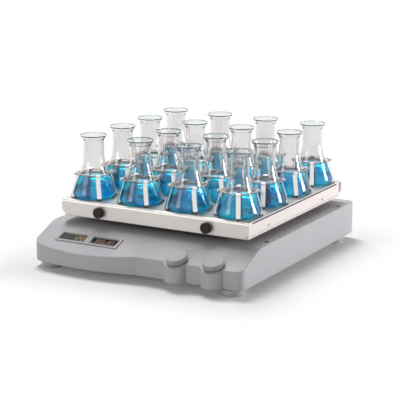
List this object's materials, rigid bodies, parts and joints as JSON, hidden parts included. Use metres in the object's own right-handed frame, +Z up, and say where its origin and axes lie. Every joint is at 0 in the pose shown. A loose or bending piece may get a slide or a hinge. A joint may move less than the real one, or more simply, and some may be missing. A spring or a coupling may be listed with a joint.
{
  "type": "orbital shaker",
  "caption": "Bench orbital shaker: sloped control panel with knobs and displays, orbiting clamp platform holding conical flasks of blue liquid.",
  "frame": {"origin": "on the bench under the middle of the bounding box", "axes": "+Z up, the control panel faces -Y, the mains inlet is in the +Y wall, +X is the side of the knobs"},
  "size_m": [0.37, 0.4242, 0.2004],
  "materials": {
    "case_paint": "fine texture powder coat",
    "bottom_sheet": "zinc plated",
    "fasteners": "zinc plated",
    "foot_rubber": "matt",
    "plug_plastic": "satin",
    "bezel_plastic": "satin",
    "window_plastic": "clear gloss",
    "display_cell": "grey green cell",
    "board_green": "solder resist",
    "encoder_black": "moulded",
    "dial_steel": "turned",
    "knob_grey": "fine matt",
    "bearing_steel": "ground",
    "shaft_steel": "turned",
    "pulley_aluminium": "turned",
    "weight_iron": "as cast",
    "belt_rubber": "ribbed",
    "motor_shell": "black",
    "bracket_steel": "zinc plated",
    "supply_shell": "satin",
    "inlet_black": "moulded",
    "rocker_black": "gloss",
    "carriage_black": "black powder coat",
    "post_aluminium": "turned",
    "tray_paint": "powder coat",
    "plate_aluminium": "satin anodised",
    "clamp_steel": "bright",
    "spring_steel": "bright",
    "flask_glass": "clear",
    "blue_liquid": "clear blue",
    "thumb_black": "moulded",
    "washer_steel": "zinc plated"
  },
  "bodies": {
    "base": {"base_housing": "case_paint", "base_plate": "bottom_sheet", "base_screws": "fasteners", "feet": "foot_rubber", "roof_plugs": "plug_plastic", "display_bezel": "bezel_plastic", "display_windows": "window_plastic", "display_modules": "display_cell", "control_board": "board_green", "speed_encoder": "encoder_black", "timer_encoder": "encoder_black", "motor": "motor_shell", "motor_bracket": "bracket_steel", "drive_belt": "belt_rubber", "crank_bearings": "bearing_steel", "idler_bearings": "bearing_steel", "power_supply": "supply_shell", "mains_inlet": "inlet_black"},
    "crank": {"crank_shaft": "shaft_steel", "crank_pulley": "pulley_aluminium", "pulley_nut": "fasteners", "counterweight": "weight_iron"},
    "rotor": {"motor_shaft": "shaft_steel", "motor_pulley": "pulley_aluminium"},
    "idler_a": {"idler_crank_1": "shaft_steel"},
    "idler_b": {"idler_crank_2": "shaft_steel"},
    "idler_c": {"idler_crank_3": "shaft_steel"},
    "idler_d": {"idler_crank_4": "shaft_steel"},
    "carriage": {"carriage_plate": "carriage_black", "carriage_bearings": "bearing_steel", "tray_posts": "post_aluminium", "platform_screws": "fasteners", "platform_tray": "tray_paint", "tray_inserts": "fasteners", "clamp_plate": "plate_aluminium", "flask_clamps_1": "clamp_steel", "flask_clamps_2": "clamp_steel", "flask_clamps_3": "clamp_steel", "flask_clamps_4": "clamp_steel", "clamp_springs": "spring_steel", "flasks_1": "flask_glass", "flasks_2": "flask_glass", "flasks_3": "flask_glass", "flasks_4": "flask_glass", "flask_liquid": "blue_liquid"},
    "speed_detent": {"speed_encoder_wheel": "encoder_black"},
    "speed_dial": {"speed_dial_shaft": "dial_steel", "speed_knob": "knob_grey"},
    "timer_detent": {"timer_encoder_wheel": "encoder_black"},
    "timer_dial": {"timer_dial_shaft": "dial_steel", "timer_knob": "knob_grey"},
    "rocker": {"power_rocker": "rocker_black"},
    "washer_1": {"thumb_washer_1": "washer_steel"},
    "thumb_1": {"thumb_screw_1": "thumb_black"},
    "washer_2": {"thumb_washer_2": "washer_steel"},
    "thumb_2": {"thumb_screw_2": "thumb_black"},
    "washer_3": {"thumb_washer_3": "washer_steel"},
    "thumb_3": {"thumb_screw_3": "thumb_black"},
    "washer_4": {"thumb_washer_4": "washer_steel"},
    "thumb_4": {"thumb_screw_4": "thumb_black"}
  },
  "joints": [
    {"name": "crank_spin", "type": "hinge", "parent": "base", "child": "crank", "pos_m": [0, 0.01889, 0.05], "axis": [0, 0, 1], "continuous": true},
    {"name": "carriage_orbit", "type": "hinge", "parent": "crank", "child": "carriage", "pos_m": [0, 0.02389, 0.074], "axis": [0, 0, 1], "continuous": true},
    {"name": "motor_spin", "type": "hinge", "parent": "base", "child": "rotor", "pos_m": [-0.108, 0.01889, 0.04], "axis": [0, 0, 1], "continuous": true},
    {"name": "idler_spin_a", "type": "hinge", "parent": "base", "child": "idler_a", "pos_m": [-0.115, -0.09611, 0.05], "axis": [0, 0, 1], "continuous": true},
    {"name": "idler_spin_b", "type": "hinge", "parent": "base", "child": "idler_b", "pos_m": [0.115, -0.09611, 0.05], "axis": [0, 0, 1], "continuous": true},
    {"name": "idler_spin_c", "type": "hinge", "parent": "base", "child": "idler_c", "pos_m": [-0.115, 0.13389, 0.05], "axis": [0, 0, 1], "continuous": true},
    {"name": "idler_spin_d", "type": "hinge", "parent": "base", "child": "idler_d", "pos_m": [0.115, 0.13389, 0.05], "axis": [0, 0, 1], "continuous": true},
    {"name": "speed_turn", "type": "hinge", "parent": "base", "child": "speed_detent", "pos_m": [0.072, -0.19161, 0.0434], "axis": [0, -0.3746, 0.9272], "continuous": true},
    {"name": "speed_push", "type": "slide", "parent": "speed_detent", "child": "speed_dial", "axis": [0, 0.3746, -0.9272], "range_m": [0, 0.0008], "stiffness_N_per_m": 1500, "springref_m": -0.001},
    {"name": "timer_turn", "type": "hinge", "parent": "base", "child": "timer_detent", "pos_m": [0.1345, -0.19161, 0.0434], "axis": [0, -0.3746, 0.9272], "continuous": true},
    {"name": "timer_push", "type": "slide", "parent": "timer_detent", "child": "timer_dial", "axis": [0, 0.3746, -0.9272], "range_m": [0, 0.0008], "stiffness_N_per_m": 1500, "springref_m": -0.001},
    {"name": "rocker_tilt", "type": "hinge", "parent": "base", "child": "rocker", "pos_m": [-0.1052, 0.20699, 0.036], "axis": [-1, 0, 0], "range_deg": [0, 16]},
    {"name": "thumb_travel_1", "type": "slide", "parent": "carriage", "child": "washer_1", "axis": [0, -1, 0], "range_m": [0, 0.0024]},
    {"name": "thumb_turn_1", "type": "hinge", "parent": "washer_1", "child": "thumb_1", "pos_m": [-0.096, -0.14611, 0.0855], "axis": [0, -1, 0], "range_deg": [0, 1080]},
    {"name": "thumb_travel_2", "type": "slide", "parent": "carriage", "child": "washer_2", "axis": [0, -1, 0], "range_m": [0, 0.0024]},
    {"name": "thumb_turn_2", "type": "hinge", "parent": "washer_2", "child": "thumb_2", "pos_m": [0.096, -0.14611, 0.0855], "axis": [0, -1, 0], "range_deg": [0, 1080]},
    {"name": "thumb_travel_3", "type": "slide", "parent": "carriage", "child": "washer_3", "axis": [0, 1, 0], "range_m": [0, 0.0024]},
    {"name": "thumb_turn_3", "type": "hinge", "parent": "washer_3", "child": "thumb_3", "pos_m": [-0.096, 0.19389, 0.0855], "axis": [0, 1, 0], "range_deg": [0, 1080]},
    {"name": "thumb_travel_4", "type": "slide", "parent": "carriage", "child": "washer_4", "axis": [0, 1, 0], "range_m": [0, 0.0024]},
    {"name": "thumb_turn_4", "type": "hinge", "parent": "washer_4", "child": "thumb_4", "pos_m": [0.096, 0.19389, 0.0855], "axis": [0, 1, 0], "range_deg": [0, 1080]}
  ],
  "couplings": [
    {"joint": "carriage_orbit", "follows": "crank_spin", "ratio": -1},
    {"joint": "motor_spin", "follows": "crank_spin", "ratio": 5},
    {"joint": "idler_spin_a", "follows": "crank_spin", "ratio": 1},
    {"joint": "idler_spin_b", "follows": "crank_spin", "ratio": 1},
    {"joint": "idler_spin_c", "follows": "crank_spin", "ratio": 1},
    {"joint": "idler_spin_d", "follows": "crank_spin", "ratio": 1},
    {"joint": "thumb_turn_1", "follows": "thumb_travel_1", "rad_per_m": 7854},
    {"joint": "thumb_turn_2", "follows": "thumb_travel_2", "rad_per_m": 7854},
    {"joint": "thumb_turn_3", "follows": "thumb_travel_3", "rad_per_m": 7854},
    {"joint": "thumb_turn_4", "follows": "thumb_travel_4", "rad_per_m": 7854}
  ]
}
